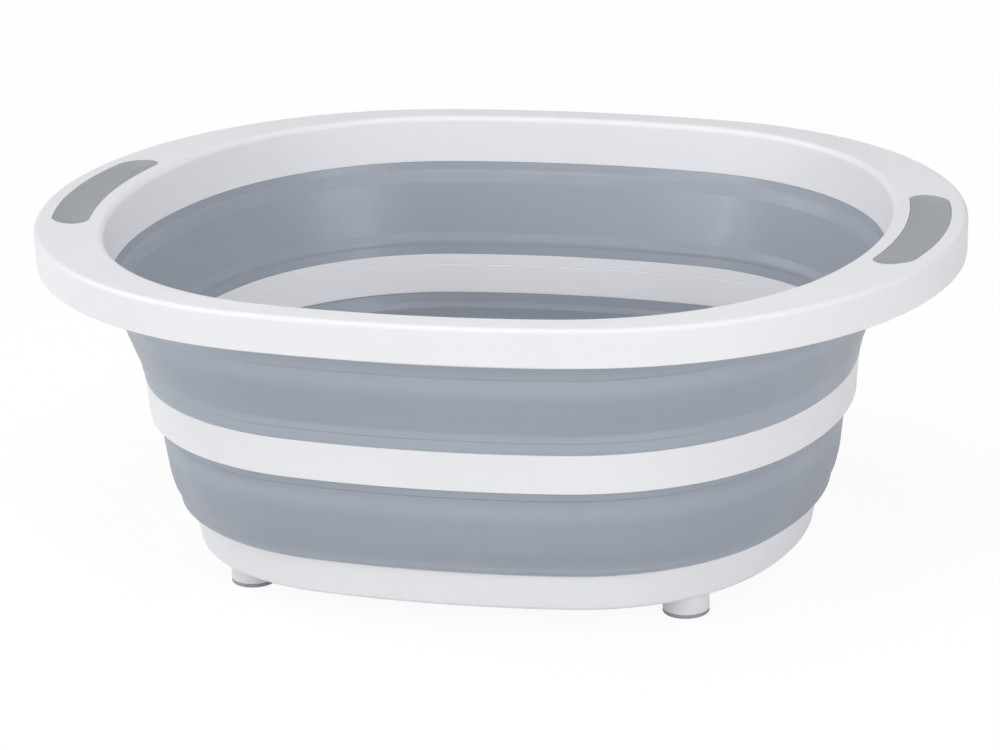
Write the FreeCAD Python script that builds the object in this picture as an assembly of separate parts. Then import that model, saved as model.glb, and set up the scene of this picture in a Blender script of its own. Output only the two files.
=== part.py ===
import FreeCAD, Part
import math
import os

# Collapsible oval washing up bowl, in millimetres, standing on the table at z = 0.
# X runs along the bowl, Y across it. All the bowl's outlines are parallel to one oval, the outside
# of the middle ring's upper edge, and a profile gives each point as its distance out from that oval
# and its height. The rim's outer edge is an oval of its own.

# Heights: the bowl's own, and those of its rigid pieces from the table upwards
bowl_height = 158.0
pad_thickness = 1.8
leg_height = 10.8
base_height = 17.6
ring_height = 17.9
collar_height = 22.0

# Middle ring, measured outside at its upper edge
ring_length = 322.0
ring_width = 276.5
ring_corner_radius = 112.0
ring_thickness = 2.7
ring_lap_width = 1.35
ring_draft = 1.5
ring_upper_lap = 1.8
ring_lower_lap = 0.7

# Where the ovals change from end arc to corner arc to side arc, as angles of the outline's normal
end_arc_angle = 22.0
side_arc_angle = 8.0

# Rim: inner collar, flat flange and outer skirt
collar_reach = 15.0
collar_draft = 1.8
collar_thickness = 2.6
flange_thickness = 3.0
flange_width_at_ends = 34.0
flange_width_at_sides = 15.4
rim_corner_radius = 160.0
skirt_height = 17.0
skirt_thickness = 2.5
skirt_draft = 0.5
skirt_edge_radius = 0.6
rim_outer_radius = 3.0
rim_inner_radius = 2.0
rim_root_radius = 1.5

# Soft walls
wall_thickness = 2.0
wall_set_back = 0.4
seam_gap = 0.3
upper_hinge_band = 8.0
upper_foot_band = 8.8
upper_foot_flare = 2.8
upper_bulge = 0.8
lower_hinge_band = 4.3
lower_hinge_flare = 1.0
lower_lip_height = 2.8
lower_lip_flare = 3.3
lower_bulge = 4.0
wall_soft_radius = 60.0
wall_crease_radius = 3.0

# Base tray and its legs
base_inset = 19.4
base_draft = 3.5
base_wall = 2.6
floor_thickness = 3.0
base_edge_radius = 2.5
floor_cove_radius = 6.0
leg_diameter = 20.6
leg_inset = 16.2
leg_direction = 41.0

# Foot pads, each with a stem that is pressed up into its leg
stem_diameter = 8.0
stem_length = 5.0
stem_clearance = 0.1
pad_edge_radius = 0.8

# Grip pads, let into the flange
grip_margin = 7.5
grip_length = 106.0
grip_end_bow = 5.7
grip_corner_radius = 2.5
grip_depth = 1.8
grip_dish = 0.8
grip_land = 2.5

# Heights of the joints between the pieces; the two soft walls share what the rigid pieces leave
base_bottom = pad_thickness + leg_height
floor_top = base_bottom + floor_thickness
base_top = base_bottom + base_height
rim_top = bowl_height
collar_bottom = rim_top - collar_height
wall_height = (collar_bottom - base_top - ring_height) / 2
ring_bottom = base_top + wall_height
ring_top = ring_bottom + ring_height

# A flat face starts this many corner radii from its corner
land_share = 1.2

UP = FreeCAD.Vector(0, 0, 1)
WORLD_X = FreeCAD.Vector(1, 0, 0)
ORIGIN = FreeCAD.Vector(0, 0, 0)


def oval(length, width, corner_radius):
    """The oval's eight arcs, anticlockwise: centre x, centre y, radius, start and end angle."""
    end = math.radians(end_arc_angle)
    side = math.radians(90 - side_arc_angle)
    across = length / 2 - corner_radius * (math.cos(end) - math.cos(side))
    along = width / 2 - corner_radius * (math.sin(side) - math.sin(end))
    share = (1 - math.cos(end)) * (1 - math.sin(side)) - math.cos(side) * math.sin(end)
    end_radius = (across * (1 - math.sin(side)) - along * math.cos(side)) / share
    side_radius = ((1 - math.cos(end)) * along - math.sin(end) * across) / share
    end_x = length / 2 - end_radius
    side_y = width / 2 - side_radius
    corner_x = end_x + (end_radius - corner_radius) * math.cos(end)
    corner_y = (end_radius - corner_radius) * math.sin(end)
    turn = math.pi
    return [
        (end_x, 0, end_radius, -end, end),
        (corner_x, corner_y, corner_radius, end, side),
        (0, side_y, side_radius, side, turn - side),
        (-corner_x, corner_y, corner_radius, turn - side, turn - end),
        (-end_x, 0, end_radius, turn - end, turn + end),
        (-corner_x, -corner_y, corner_radius, turn + end, turn + side),
        (0, -side_y, side_radius, turn + side, 2 * turn - side),
        (corner_x, -corner_y, corner_radius, 2 * turn - side, 2 * turn - end),
    ]


def on_arc(arc, offset, angle, height):
    """The point at an angle of one arc of an oval, moved out by an offset."""
    x, y, radius, start, end = arc
    reach = radius + offset
    return FreeCAD.Vector(x + reach * math.cos(angle), y + reach * math.sin(angle), height)


def oval_face(arcs, offset, height):
    """A flat face that fills the oval moved out by an offset."""
    return Part.Face(oval_wire(arcs, offset, height))


def oval_wire(arcs, offset, height):
    """The closed line of an oval moved out by an offset."""
    edges = []
    for arc in arcs:
        start, end = arc[3], arc[4]
        points = [on_arc(arc, offset, angle, height) for angle in (start, (start + end) / 2, end)]
        edges.append(Part.Arc(*points).toShape())
    return Part.Wire(edges)


def share_of_run(neighbour):
    """How much of a run a corner's arc may take: half of it where the neighbour is rounded too."""
    return 0.48 if neighbour[2] else 0.96


def rounded(corners, closed):
    """Lines and arcs through corners given as offset, height and corner radius."""
    count = len(corners)
    ins, outs, mids = [], [], []
    for i, (offset, height, radius) in enumerate(corners):
        here = FreeCAD.Vector(offset, 0, height)
        free_end = not closed and i in (0, count - 1)
        if radius == 0 or free_end:
            ins.append(here)
            outs.append(here)
            mids.append(None)
            continue
        before, after = corners[i - 1], corners[(i + 1) % count]
        back = FreeCAD.Vector(before[0], 0, before[1]) - here
        ahead = FreeCAD.Vector(after[0], 0, after[1]) - here
        half = back.getAngle(ahead) / 2
        room = min(back.Length * share_of_run(before), ahead.Length * share_of_run(after))
        reach = min(radius / math.tan(half), room)
        middle = (FreeCAD.Vector(back).normalize() + FreeCAD.Vector(ahead).normalize()).normalize()
        fitted = reach * math.tan(half)
        ins.append(here + FreeCAD.Vector(back).normalize() * reach)
        outs.append(here + FreeCAD.Vector(ahead).normalize() * reach)
        mids.append(here + middle * (fitted / math.sin(half) - fitted))
    edges = []
    for i in range(count):
        if mids[i] is not None:
            edges.append(Part.Arc(ins[i], mids[i], outs[i]).toShape())
        if i < count - 1 or closed:
            edges.append(Part.LineSegment(outs[i], ins[(i + 1) % count]).toShape())
    return edges


def swept(arcs, corners, closed=True):
    """The faces that a profile leaves on its way round an oval."""
    faces = []
    for arc in arcs:
        x, y, radius, start, end = arc
        axis = FreeCAD.Vector(x, y, 0)
        for edge in rounded(corners, closed):
            placed = edge.copy()
            placed.translate(FreeCAD.Vector(radius, 0, 0))
            placed.rotate(ORIGIN, UP, math.degrees(start))
            placed.translate(axis)
            faces.append(placed.revolve(axis, UP, math.degrees(end - start)))
    return faces


def solid_of(faces):
    """The solid that a closed set of faces bounds."""
    skin = Part.Compound([face for shape in faces for face in shape.Faces])
    skin.sewShape()
    solid = Part.Solid(Part.Shell(skin.Faces))
    if solid.Volume < 0:
        solid.reverse()
    return solid


def draft_at(height, low, high, low_offset, high_offset):
    """A drafted face's offset at a height, between its lower and upper edges."""
    return low_offset + (high_offset - low_offset) * (height - low) / (high - low)


def bulged(low, high, bulge):
    """The point half way between two profile points, moved out."""
    return (low[0] + high[0]) / 2 + bulge, (low[1] + high[1]) / 2


def middle_ring():
    """Rigid band with a lap joint at each edge for the soft walls."""
    upper_inside = draft_at(ring_top + ring_upper_lap, ring_bottom, ring_top, -ring_draft, 0) - ring_thickness
    lower_inside = -ring_draft - ring_thickness
    corners = [
        (-ring_draft, ring_bottom, 0),
        (0, ring_top, 0),
        (-ring_lap_width, ring_top, 0),
        (-ring_lap_width, ring_top + ring_upper_lap, 0),
        (upper_inside, ring_top + ring_upper_lap, 0),
        (lower_inside, ring_bottom + ring_lower_lap, 0),
        (-ring_draft - ring_lap_width, ring_bottom + ring_lower_lap, 0),
        (-ring_draft - ring_lap_width, ring_bottom, 0),
    ]
    return solid_of(swept(bowl_oval, corners))


def upper_wall():
    """Soft wall from the middle ring out to the collar, set in the ring's upper lap."""
    top = collar_bottom - seam_gap
    foot = (-wall_set_back, ring_top)
    panel_low = (foot[0] + upper_foot_flare, ring_top + upper_foot_band)
    edge = (collar_reach - collar_draft + wall_thickness, top)
    panel_high = (draft_at(top - upper_hinge_band, ring_top, top, foot[0], edge[0]), top - upper_hinge_band)
    middle = bulged(panel_low, panel_high, upper_bulge)
    lap_top = ring_top + ring_upper_lap
    lap_inside = draft_at(lap_top, foot[1], panel_low[1], foot[0], panel_low[0]) - wall_thickness
    corners = [
        (foot[0], foot[1], 0),
        (panel_low[0], panel_low[1], wall_crease_radius),
        (middle[0], middle[1], wall_soft_radius),
        (panel_high[0], panel_high[1], wall_crease_radius),
        (edge[0], edge[1], 0),
        (edge[0] - wall_thickness, edge[1], 0),
        (panel_high[0] - wall_thickness, panel_high[1], wall_crease_radius),
        (middle[0] - wall_thickness, middle[1], wall_soft_radius),
        (panel_low[0] - wall_thickness, panel_low[1], wall_crease_radius),
        (lap_inside, lap_top, 0),
        (-ring_lap_width, lap_top, 0),
        (-ring_lap_width, ring_top, 0),
    ]
    return solid_of(swept(bowl_oval, corners))


def lower_wall():
    """Soft wall from the base out to the ring's lower lap, bulged, with a lip above the base."""
    top = ring_bottom + ring_lower_lap - seam_gap
    lip = (wall_set_back - base_inset, base_top)
    panel_low = (lip[0] + lower_lip_flare, base_top + lower_lip_height)
    edge = (-ring_draft - ring_lap_width - seam_gap, top)
    panel_high = (edge[0] - lower_hinge_flare, top - lower_hinge_band)
    middle = bulged(panel_low, panel_high, lower_bulge)
    corners = [
        (lip[0], lip[1], 0),
        (panel_low[0], panel_low[1], wall_crease_radius),
        (middle[0], middle[1], wall_soft_radius),
        (panel_high[0], panel_high[1], wall_crease_radius),
        (edge[0], edge[1], 0),
        (edge[0] - wall_thickness, edge[1], 0),
        (panel_high[0] - wall_thickness, panel_high[1], wall_crease_radius),
        (middle[0] - wall_thickness, middle[1], wall_soft_radius),
        (panel_low[0] - wall_thickness, panel_low[1], wall_crease_radius),
        (lip[0] - wall_thickness, lip[1], 0),
    ]
    return solid_of(swept(bowl_oval, corners))


def leg_centres():
    """Centres of the four legs, one inside each corner arc of the base."""
    x, y, radius, start, end = bowl_oval[1]
    reach = radius - base_inset - base_draft - leg_inset
    out_x = x + reach * math.cos(math.radians(leg_direction))
    out_y = y + reach * math.sin(math.radians(leg_direction))
    return {
        "front_left": (-out_x, -out_y),
        "front_right": (out_x, -out_y),
        "rear_left": (-out_x, out_y),
        "rear_right": (out_x, out_y),
    }


def base_tray():
    """Rigid tray: floor, low side and four legs with a socket for each pad's stem."""
    low, high = -base_inset - base_draft, -base_inset
    inside_low = draft_at(floor_top, base_bottom, base_top, low, high) - base_wall
    floor_edge = inside_low - land_share * floor_cove_radius
    ground_edge = low - land_share * base_edge_radius
    corners = [
        (floor_edge, floor_top, 0),
        (inside_low, floor_top, floor_cove_radius),
        (high - base_wall, base_top, 0),
        (high, base_top, 0),
        (low, base_bottom, base_edge_radius),
        (ground_edge, base_bottom, 0),
    ]
    faces = swept(bowl_oval, corners, closed=False)
    faces.append(oval_face(bowl_oval, floor_edge, floor_top))
    faces.append(oval_face(bowl_oval, ground_edge, base_bottom))
    tray = solid_of(faces)
    sockets = []
    legs = []
    for x, y in leg_centres().values():
        foot = FreeCAD.Vector(x, y, pad_thickness)
        legs.append(Part.makeCylinder(leg_diameter / 2, leg_height, foot))
        sockets.append(Part.makeCylinder(stem_diameter / 2 + stem_clearance, stem_length + stem_clearance, foot))
    return tray.multiFuse(legs).removeSplitter().cut(Part.Compound(sockets))


def foot_pad(centre):
    """Soft pad under one leg, with the stem that holds it."""
    x, y = centre
    pad = Part.makeCylinder(leg_diameter / 2, pad_thickness, FreeCAD.Vector(x, y, 0))
    rim = [edge for edge in pad.Edges if edge.BoundBox.ZMax < pad_thickness / 2]
    pad = pad.makeFillet(pad_edge_radius, rim)
    stem = Part.makeCylinder(stem_diameter / 2, stem_length, FreeCAD.Vector(x, y, pad_thickness))
    return pad.fuse(stem).removeSplitter()


def grip_prism(depth):
    """The grip's outline at the rim's right end, as a block down from the rim's top."""
    outer_x, _, outer_radius, _, _ = rim_oval[0]
    inner_x, _, inner_radius, _, _ = bowl_oval[0]
    outer_reach = outer_radius - grip_margin
    inner_reach = inner_radius + collar_reach + grip_margin
    tip = grip_length / 2
    corner = tip - grip_end_bow
    bottom = rim_top - depth

    def point(x, y):
        return FreeCAD.Vector(x, y, bottom)

    outer = outer_x + math.sqrt(outer_reach ** 2 - corner ** 2)
    inner = inner_x + math.sqrt(inner_reach ** 2 - corner ** 2)
    middle = (outer + inner) / 2
    edges = [
        Part.Arc(point(outer, -corner), point(outer_x + outer_reach, 0), point(outer, corner)).toShape(),
        Part.Arc(point(outer, corner), point(middle, tip), point(inner, corner)).toShape(),
        Part.Arc(point(inner, corner), point(inner_x + inner_reach, 0), point(inner, -corner)).toShape(),
        Part.Arc(point(inner, -corner), point(middle, -tip), point(outer, -corner)).toShape(),
    ]
    block = Part.Face(Part.Wire(edges)).extrude(UP * depth)
    uprights = [edge for edge in block.Edges if edge.BoundBox.ZLength > depth / 2]
    return block.makeFillet(grip_corner_radius, uprights)


def dish():
    """The shallow trough along the grip's top, turned about the centre of the rim's end arc."""
    outer_x, _, outer_radius, _, _ = rim_oval[0]
    inner_x, _, inner_radius, _, _ = bowl_oval[0]
    outer = outer_x + outer_radius - grip_margin - grip_land
    inner = inner_x + inner_radius + collar_reach + grip_margin + grip_land
    ends = [FreeCAD.Vector(x, 0, rim_top) for x in (outer, inner)]
    bottom = FreeCAD.Vector((outer + inner) / 2, 0, rim_top - grip_dish)
    edges = [Part.Arc(ends[0], bottom, ends[1]).toShape(), Part.LineSegment(ends[1], ends[0]).toShape()]
    section = Part.Face(Part.Wire(edges))
    axis = FreeCAD.Vector(outer_x, 0, 0)
    section.rotate(axis, UP, -2 * end_arc_angle)
    return section.revolve(axis, UP, 4 * end_arc_angle)


def right_grip():
    """Soft grip pad that fills the recess at the rim's right end."""
    return grip_prism(grip_depth).cut(dish())


def rim_frame():
    """Rigid rim: collar, flange and skirt, with a recess for each grip."""
    under = rim_top - flange_thickness
    skirt_bottom = rim_top - skirt_height
    outer_land = land_share * max(rim_outer_radius, skirt_thickness + rim_root_radius)
    inner_land = collar_reach + land_share * max(rim_inner_radius, collar_thickness + rim_root_radius)
    skirt = [
        (-outer_land, rim_top, 0),
        (0, rim_top, rim_outer_radius),
        (-skirt_draft, skirt_bottom, skirt_edge_radius),
        (-skirt_draft - skirt_thickness, skirt_bottom, skirt_edge_radius),
        (-skirt_thickness, under, rim_root_radius),
        (-outer_land, under, 0),
    ]
    low = collar_reach - collar_draft
    collar = [
        (inner_land, under, 0),
        (collar_reach + collar_thickness, under, rim_root_radius),
        (low + collar_thickness, collar_bottom, 0),
        (low, collar_bottom, 0),
        (collar_reach, rim_top, rim_inner_radius),
        (inner_land, rim_top, 0),
    ]
    faces = swept(rim_oval, skirt, closed=False) + swept(bowl_oval, collar, closed=False)
    for height in (rim_top, under):
        hole = oval_face(bowl_oval, inner_land, height)
        faces.append(oval_face(rim_oval, -outer_land, height).cut(hole))
    recess = grip_prism(grip_depth)
    return solid_of(faces).cut(Part.Compound([recess, mirrored(recess)]))


def mirrored(shape):
    """The same shape at the other end of the bowl."""
    return shape.mirror(ORIGIN, WORLD_X)


bowl_oval = oval(ring_length, ring_width, ring_corner_radius)
collar_overall = 2 * collar_reach
rim_oval = oval(
    ring_length + collar_overall + 2 * flange_width_at_ends,
    ring_width + collar_overall + 2 * flange_width_at_sides,
    rim_corner_radius,
)

pieces = {
    "rim_frame": rim_frame(),
    "right_grip": right_grip(),
    "left_grip": mirrored(right_grip()),
    "upper_wall": upper_wall(),
    "middle_ring": middle_ring(),
    "lower_wall": lower_wall(),
    "base_tray": base_tray(),
}
for place, centre in leg_centres().items():
    pieces[place + "_foot_pad"] = foot_pad(centre)

os.makedirs("parts", exist_ok=True)
for name, shape in pieces.items():
    solid = shape.Solids[0]
    box = solid.optimalBoundingBox(False, False)
    print("%-22s valid %s volume %9.0f  x %.1f y %.1f z %.1f to %.1f" % (
        name, solid.isValid(), solid.Volume, box.XLength, box.YLength, box.ZMin, box.ZMax))
    solid.exportStep("parts/" + name + ".step")
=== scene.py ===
"""Looks of a collapsible oval washing up bowl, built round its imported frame.

Sections are drawn in millimetres, as distances out from an oval and heights above the table,
and are carried round the oval arc by arc. Blender gets metres.
"""

import logging
import math
from contextlib import contextmanager
from dataclasses import dataclass
from enum import Enum
from functools import cache
from typing import Callable, Iterable, Iterator, Sequence

import bmesh
import bpy
from mathutils import Matrix, Vector


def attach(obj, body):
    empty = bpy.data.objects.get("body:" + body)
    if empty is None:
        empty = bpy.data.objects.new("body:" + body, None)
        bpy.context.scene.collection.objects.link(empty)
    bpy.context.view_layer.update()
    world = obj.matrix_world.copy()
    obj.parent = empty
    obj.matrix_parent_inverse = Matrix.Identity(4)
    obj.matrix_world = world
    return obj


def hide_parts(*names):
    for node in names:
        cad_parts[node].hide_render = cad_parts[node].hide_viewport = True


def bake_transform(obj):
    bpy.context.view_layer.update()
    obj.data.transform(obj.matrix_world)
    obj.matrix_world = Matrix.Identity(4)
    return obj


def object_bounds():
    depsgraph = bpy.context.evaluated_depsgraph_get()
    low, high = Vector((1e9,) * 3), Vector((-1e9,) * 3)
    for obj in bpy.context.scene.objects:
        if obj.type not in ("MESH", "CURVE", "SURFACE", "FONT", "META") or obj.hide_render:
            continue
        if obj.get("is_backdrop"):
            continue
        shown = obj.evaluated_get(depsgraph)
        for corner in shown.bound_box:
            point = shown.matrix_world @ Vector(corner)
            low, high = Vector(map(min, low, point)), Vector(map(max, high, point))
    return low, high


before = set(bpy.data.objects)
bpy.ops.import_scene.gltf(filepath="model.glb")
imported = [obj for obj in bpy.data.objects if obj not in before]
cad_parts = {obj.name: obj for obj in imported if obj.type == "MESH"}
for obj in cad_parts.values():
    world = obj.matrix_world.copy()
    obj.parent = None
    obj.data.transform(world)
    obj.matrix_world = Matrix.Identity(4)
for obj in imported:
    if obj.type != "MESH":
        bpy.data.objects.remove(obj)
CAD_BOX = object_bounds()

Piece = bpy.types.Object
Node = bpy.types.Node
Edge = bmesh.types.BMEdge
Face = bmesh.types.BMFace
Colour = tuple[float, float, float]
Steps = tuple[tuple[float, float], ...]

LOG = logging.getLogger("washing_up_bowl")
MM = 0.001
UP = Vector((0.0, 0.0, 1.0))

# Tolerances in millimetres: points at one height, points to weld, points to keep apart
LEVEL = 0.01
WELD = 0.002
APART = 0.0001

# Where the ovals change from end arc to corner arc to side arc, as turns of their normal
END_TURN = math.radians(22.0)
SIDE_TURN = math.radians(8.0)

# Steps round each arc, from the middle of the right end once round
ARC_STEPS = (10, 30, 30, 30, 20, 30, 30, 30, 10)

# Share of a straight that one rounding may take, with and without another at its far end
SHARED_STRAIGHT = 0.48
WHOLE_STRAIGHT = 0.96
ROUNDING_STEP = 11.0  # degrees

# Longest straight steps in the sections of rigid and soft pieces
RIGID_RUN = 6.0
SOFT_RUN = 1.6

# Heights of the joints between the pieces
LEG_BOTTOM = 1.8
BASE_BOTTOM = 12.6
FLOOR_TOP = 15.6
BASE_TOP = 30.2
RING_BOTTOM = 74.15
RING_TOP = 92.05
COLLAR_BOTTOM = 136.0
RIM_TOP = 158.0

# Gap in a seam, width and heights of the laps at the ring, and the collar's distance from its oval
SEAM = 0.02
LAP = 1.35
UPPER_LAP = 1.8
LOWER_LAP = 0.7
COLLAR_REACH = 15.0

# Extra length at each end of the base and the lower wall by height, and the half length it is
# counted on
END_EXTRAS = ((30.2, 1.3), (46.0, -0.2), (56.0, -1.5), (64.0, -2.2), (68.5, -1.9), (74.15, 0.0))
END_REACH = 141.6

# The mesh attribute that tells a wall's finish where to paint light and shade in bands: painted
# highlights on shoulders, beads and lip, painted shade on the lower panel
PAINTED_BAND_MARK = "painted_band_light"

# The colour inputs and the colour output of Blender's mix node
MIX_COLOURS = (6, 7)
MIX_RESULT = 2
BLOOM_INPUTS = ("Round", "Tall", "Contrast")
WHITE = (1.0, 1.0, 1.0, 1.0)


class Body(Enum):
    """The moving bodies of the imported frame."""

    BASE = "base"
    RING = "ring"
    RIM = "rim"


class Slot(Enum):
    """Names of the material slots."""

    WHITE = "white_plastic"
    WALL = "soft_wall"
    GRIP = "soft_grip"
    FOOT = "soft_foot"


class Corner(Enum):
    """The bowl's four corners, as the sides of X and Y that they lie on."""

    FRONT_LEFT = (-1, -1)
    FRONT_RIGHT = (1, -1)
    REAR_LEFT = (-1, 1)
    REAR_RIGHT = (1, 1)


@dataclass(frozen=True)
class Arc:
    """One arc of an oval, in millimetres and radians."""

    x: float  # Centre along the bowl
    y: float  # Centre across the bowl
    radius: float
    start: float  # Angle of the normal where it starts
    end: float  # Angle of the normal where it ends


@dataclass(frozen=True)
class Oval:
    """An oval of eight arcs that meet without a kink."""

    length: float  # Overall length along X, in millimetres
    width: float  # Overall width along Y, in millimetres
    corner_radius: float  # Radius of the four corner arcs, in millimetres

    def arcs(self) -> list[Arc]:
        """The arcs in order, from the middle of the right end once round.

        Returns:
            Nine arcs, of which the first and last are the halves of the right end.
        """
        end, side, turn = END_TURN, math.pi / 2 - SIDE_TURN, math.pi
        corner = self.corner_radius
        across = self.length / 2 - corner * (math.cos(end) - math.cos(side))
        along = self.width / 2 - corner * (math.sin(side) - math.sin(end))
        share = (1 - math.cos(end)) * (1 - math.sin(side)) - math.cos(side) * math.sin(end)
        end_radius = (across * (1 - math.sin(side)) - along * math.cos(side)) / share
        side_radius = ((1 - math.cos(end)) * along - math.sin(end) * across) / share
        end_x = self.length / 2 - end_radius
        side_y = self.width / 2 - side_radius
        corner_x = end_x + (end_radius - corner) * math.cos(end)
        corner_y = (end_radius - corner) * math.sin(end)
        return [
            Arc(end_x, 0, end_radius, 0, end),
            Arc(corner_x, corner_y, corner, end, side),
            Arc(0, side_y, side_radius, side, turn - side),
            Arc(-corner_x, corner_y, corner, turn - side, turn - end),
            Arc(-end_x, 0, end_radius, turn - end, turn + end),
            Arc(-corner_x, -corner_y, corner, turn + end, turn + side),
            Arc(0, -side_y, side_radius, turn + side, 2 * turn - side),
            Arc(corner_x, -corner_y, corner, 2 * turn - side, 2 * turn - end),
            Arc(end_x, 0, end_radius, 2 * turn - end, 2 * turn),
        ]


RING_OVAL = Oval(322.0, 276.5, 112.0)
RIM_OVAL = Oval(419.94, 337.24, 160.0)


@dataclass(frozen=True)
class Bend:
    """A corner of a section, in millimetres."""

    out: float  # Distance out from the oval
    up: float  # Height above the table
    radius: float = 0.0  # Rounding of the corner

    def at(self) -> Vector:
        """The corner as a flat vector."""
        return Vector((self.out, self.up))


@dataclass
class Section:
    """The cross-section that a piece keeps all round its oval."""

    bends: Sequence[Bend]  # Its corners in order
    closed: bool = True  # Whether the last corner joins the first
    run: float = 40.0  # Longest straight step between points, in millimetres
    support: float = 0.3  # Distance from a rounding to the point that keeps its neighbour flat

    def _rounding(self, index: int) -> list[Vector]:
        """The points that stand for one corner.

        Args:
            index: Which corner.

        Returns:
            One point for a sharp corner, or the points of its arc.
        """
        count = len(self.bends)
        bend = self.bends[index]
        here = bend.at()
        if bend.radius == 0 or (not self.closed and index in (0, count - 1)):
            return [here]
        before, after = self.bends[index - 1], self.bends[(index + 1) % count]
        back, ahead = before.at() - here, after.at() - here
        half = back.angle(ahead) / 2
        room = min(
            side.length * (SHARED_STRAIGHT if end.radius else WHOLE_STRAIGHT)
            for side, end in ((back, before), (ahead, after))
        )
        reach = min(bend.radius / math.tan(half), room)
        radius = reach * math.tan(half)
        middle = (back.normalized() + ahead.normalized()).normalized()
        centre = here + middle * (radius / math.sin(half))
        first, last = (side.normalized() * reach + here - centre for side in (back, ahead))
        turn = math.pi - 2 * half
        steps = max(2, math.ceil(math.degrees(turn) / ROUNDING_STEP))
        return [
            centre
            + (first * math.sin(turn * (1 - i / steps)) + last * math.sin(turn * i / steps))
            / math.sin(turn)
            for i in range(steps + 1)
        ]

    def points(self) -> list[Vector]:
        """The whole section as points close enough together to look smooth.

        Returns:
            Flat points, the first one repeated at the end of a closed section.
        """
        corners = [self._rounding(i) for i in range(len(self.bends))]
        if self.closed:
            corners.append(corners[0][:1])
        chain: list[Vector] = list(corners[0])
        for corner in corners[1:]:
            start, end = chain[-1], corner[0]
            run = (end - start).length
            if run > 4 * self.support:
                shares = [self.support / run, 1 - self.support / run]
                cuts = math.ceil(run / self.run)
                shares += [i / cuts for i in range(1, cuts)]
                chain += [start.lerp(end, share) for share in sorted(shares)]
            chain += corner
        return [p for i, p in enumerate(chain) if i == 0 or (p - chain[i - 1]).length > APART]


def clear() -> None:
    """Leaves edit mode and selects nothing."""
    if bpy.context.mode != "OBJECT":
        bpy.ops.object.mode_set(mode="OBJECT")
    bpy.ops.object.select_all(action="DESELECT")


def only(piece: Piece) -> None:
    """Makes one piece the selected and active one.

    Args:
        piece: The piece to work on.
    """
    clear()
    piece.select_set(True)
    bpy.context.view_layer.objects.active = piece


@contextmanager
def editing(piece: Piece) -> Iterator[None]:
    """Holds a piece in edit mode.

    Args:
        piece: The piece to work on.
    """
    only(piece)
    bpy.ops.object.mode_set(mode="EDIT")
    yield
    bpy.ops.object.mode_set(mode="OBJECT")


def fresh(name: str) -> Piece:
    """Names the piece that an operator has just added.

    Args:
        name: Name of the piece and its mesh.

    Returns:
        The piece.
    """
    piece = bpy.context.object
    piece.name = piece.data.name = name
    return piece


def face_out() -> None:
    """Turns all faces of the piece in edit mode outwards."""
    bpy.ops.mesh.select_all(action="SELECT")
    bpy.ops.mesh.normals_make_consistent(inside=False)


def sweep(name: str, section: Section, oval: Oval) -> Piece:
    """Draws a section point by point and spins it round an oval's arcs.

    Args:
        name: Name of the new piece.
        section: What is carried round.
        oval: What it is carried round.

    Returns:
        The new piece, in object mode.
    """
    tip = oval.length / 2
    line = [Vector(((tip + p.x) * MM, 0.0, p.y * MM)) for p in section.points()]
    clear()
    bpy.ops.mesh.primitive_plane_add(size=MM)
    piece = fresh(name)
    with editing(piece):
        bpy.ops.mesh.select_mode(type="VERT")
        bpy.ops.mesh.select_all(action="SELECT")
        bpy.ops.mesh.merge(type="CENTER")
        bpy.ops.transform.translate(value=line[0])
        for here, there in zip(line, line[1:]):
            bpy.ops.mesh.extrude_region_move(TRANSFORM_OT_translate={"value": there - here})
        bpy.ops.mesh.select_all(action="SELECT")
        for arc, steps in zip(oval.arcs(), ARC_STEPS):
            centre = (arc.x * MM, arc.y * MM, 0.0)
            bpy.ops.mesh.spin(steps=steps, angle=arc.start - arc.end, center=centre, axis=UP)
        bpy.ops.mesh.select_all(action="SELECT")
        bpy.ops.mesh.remove_doubles(threshold=WELD * MM)
        face_out()
    return piece


def level(part: Edge | Face, height: float) -> bool:
    """Whether a whole edge or face lies at a height."""
    return all(abs(v.co.z - height * MM) < LEVEL * MM for v in part.verts)


def pick_edges(piece: Piece, wanted: Callable[[Edge], bool]) -> None:
    """Selects the edges of a piece in edit mode that a test names.

    Args:
        piece: The piece, in edit mode.
        wanted: The test.
    """
    bpy.ops.mesh.select_mode(type="EDGE")
    bpy.ops.mesh.select_all(action="DESELECT")
    mesh = bmesh.from_edit_mesh(piece.data)
    for edge in [edge for edge in mesh.edges if wanted(edge)]:
        edge.select_set(True)
    mesh.select_flush(True)
    bmesh.update_edit_mesh(piece.data)


def close_at(piece: Piece, heights: Iterable[float], closing: Callable[[], object]) -> None:
    """Closes a piece where it is open at some heights, and turns its faces out.

    Args:
        piece: The piece.
        heights: The heights in millimetres.
        closing: The operator that closes the selected edges.
    """
    with editing(piece):
        for height in heights:
            pick_edges(piece, lambda edge: edge.is_boundary and level(edge, height))
            closing()
        face_out()


def modify(piece: Piece, kind: str, **settings: object) -> None:
    """Adds a modifier to a piece, sets it and applies it.

    Args:
        piece: The piece.
        kind: Blender's name of the modifier type.
        **settings: The modifier's properties.
    """
    only(piece)
    bpy.ops.object.modifier_add(type=kind)
    modifier = piece.modifiers[-1]
    for key, value in settings.items():
        setattr(modifier, key, value)
    bpy.ops.object.modifier_apply(modifier=modifier.name)


def combine(piece: Piece, tool: Piece, operation: str) -> None:
    """Adds a tool's solid to a piece or cuts it away, and removes the tool."""
    modify(piece, "BOOLEAN", operation=operation, solver="EXACT", object=tool)
    bpy.data.objects.remove(tool)


def smooth(piece: Piece, degrees: float = 35.0) -> None:
    """Shades a piece smooth except across its sharp edges."""
    only(piece)
    bpy.ops.object.shade_smooth_by_angle(angle=math.radians(degrees))


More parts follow.
